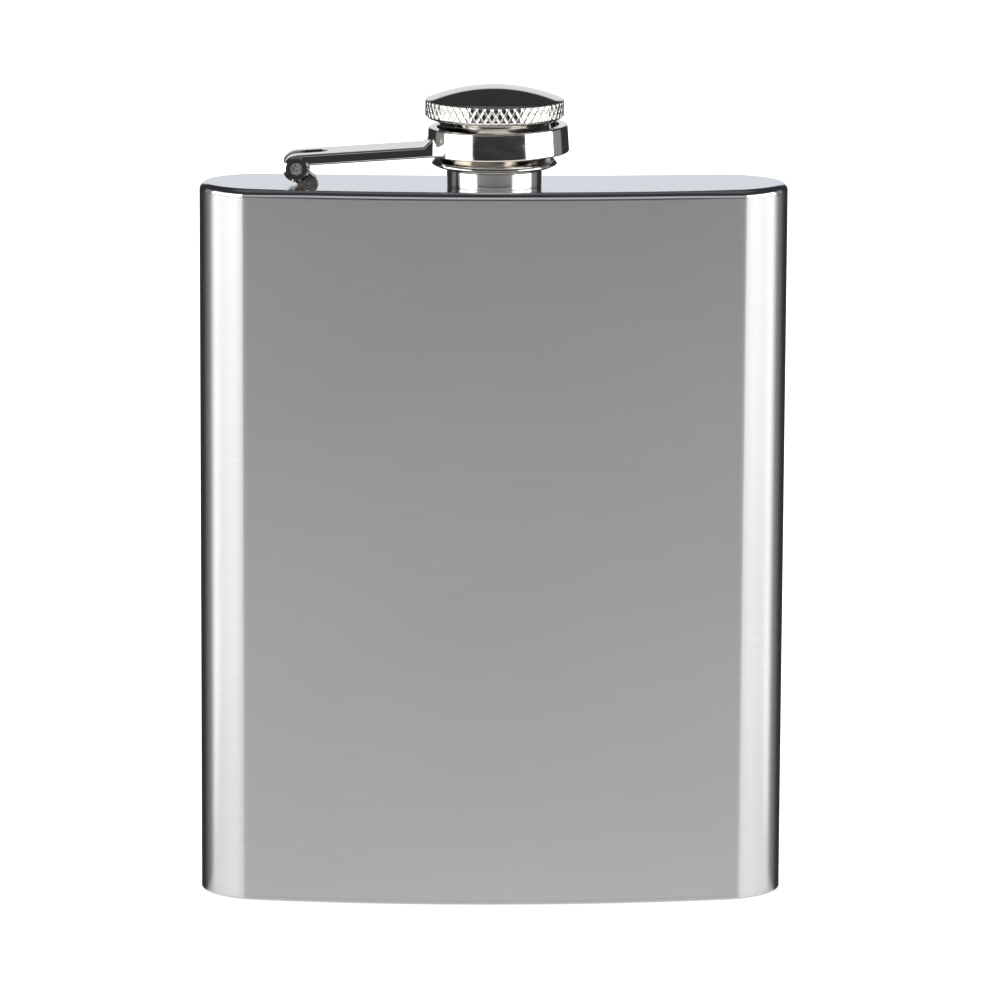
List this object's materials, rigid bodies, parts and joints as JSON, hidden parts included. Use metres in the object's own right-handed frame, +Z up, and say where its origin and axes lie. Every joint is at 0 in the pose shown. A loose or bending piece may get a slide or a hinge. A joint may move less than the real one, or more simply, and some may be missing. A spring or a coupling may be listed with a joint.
{
  "type": "hip flask",
  "caption": "Curved steel hip flask with brushed sides, polished top and a knurled screw cap held captive by a ring on a hinged arm.",
  "frame": {"origin": "middle of the footprint, on the surface that the flask stands on", "axes": "+Z up through the neck, +X across the width away from the hinge, -Y out of the bulging front face, +Y out of the hollow back"},
  "size_m": [0.095, 0.0237, 0.133],
  "materials": {
    "brushed_shell": "fine brushing across the width, satin",
    "polished_top": "polished stainless steel",
    "brushed_base": "satin",
    "polished_neck": "polished",
    "polished_hinge": "polished",
    "pin_steel": "turned, slightly dull",
    "polished_arm": "polished",
    "polished_cap": "polished dome, diamond-knurled band",
    "sleeve_steel": "machined",
    "polished_flange": "polished",
    "seal_rubber": "matt"
  },
  "bodies": {
    "flask": {"body_shell": "brushed_shell", "top_plate": "polished_top", "bottom_plate": "brushed_base", "neck_tube": "polished_neck", "hinge_bracket": "polished_hinge"},
    "arm": {"captive_arm": "polished_arm", "hinge_pin": "pin_steel"},
    "cap_seal": {"cap_seal": "seal_rubber"},
    "cap": {"cap_head": "polished_cap", "cap_sleeve": "sleeve_steel", "retaining_flange": "polished_flange"}
  },
  "joints": [
    {"name": "arm_swing", "type": "hinge", "parent": "flask", "child": "arm", "pos_m": [-0.0318, -0.0011, 0.11995], "axis": [0, -1, 0], "range_deg": [0, 172]},
    {"name": "cap_lift", "type": "slide", "parent": "arm", "child": "cap_seal", "axis": [0, 0, 1], "range_m": [0, 0.0013]},
    {"name": "cap_unscrew", "type": "hinge", "parent": "cap_seal", "child": "cap", "pos_m": [0, -0.0011, 0.117], "axis": [0, 0, 1], "range_deg": [0, 450]}
  ],
  "couplings": [
    {"joint": "cap_lift", "follows": "cap_unscrew", "m_per_rad": 0.00015915}
  ]
}
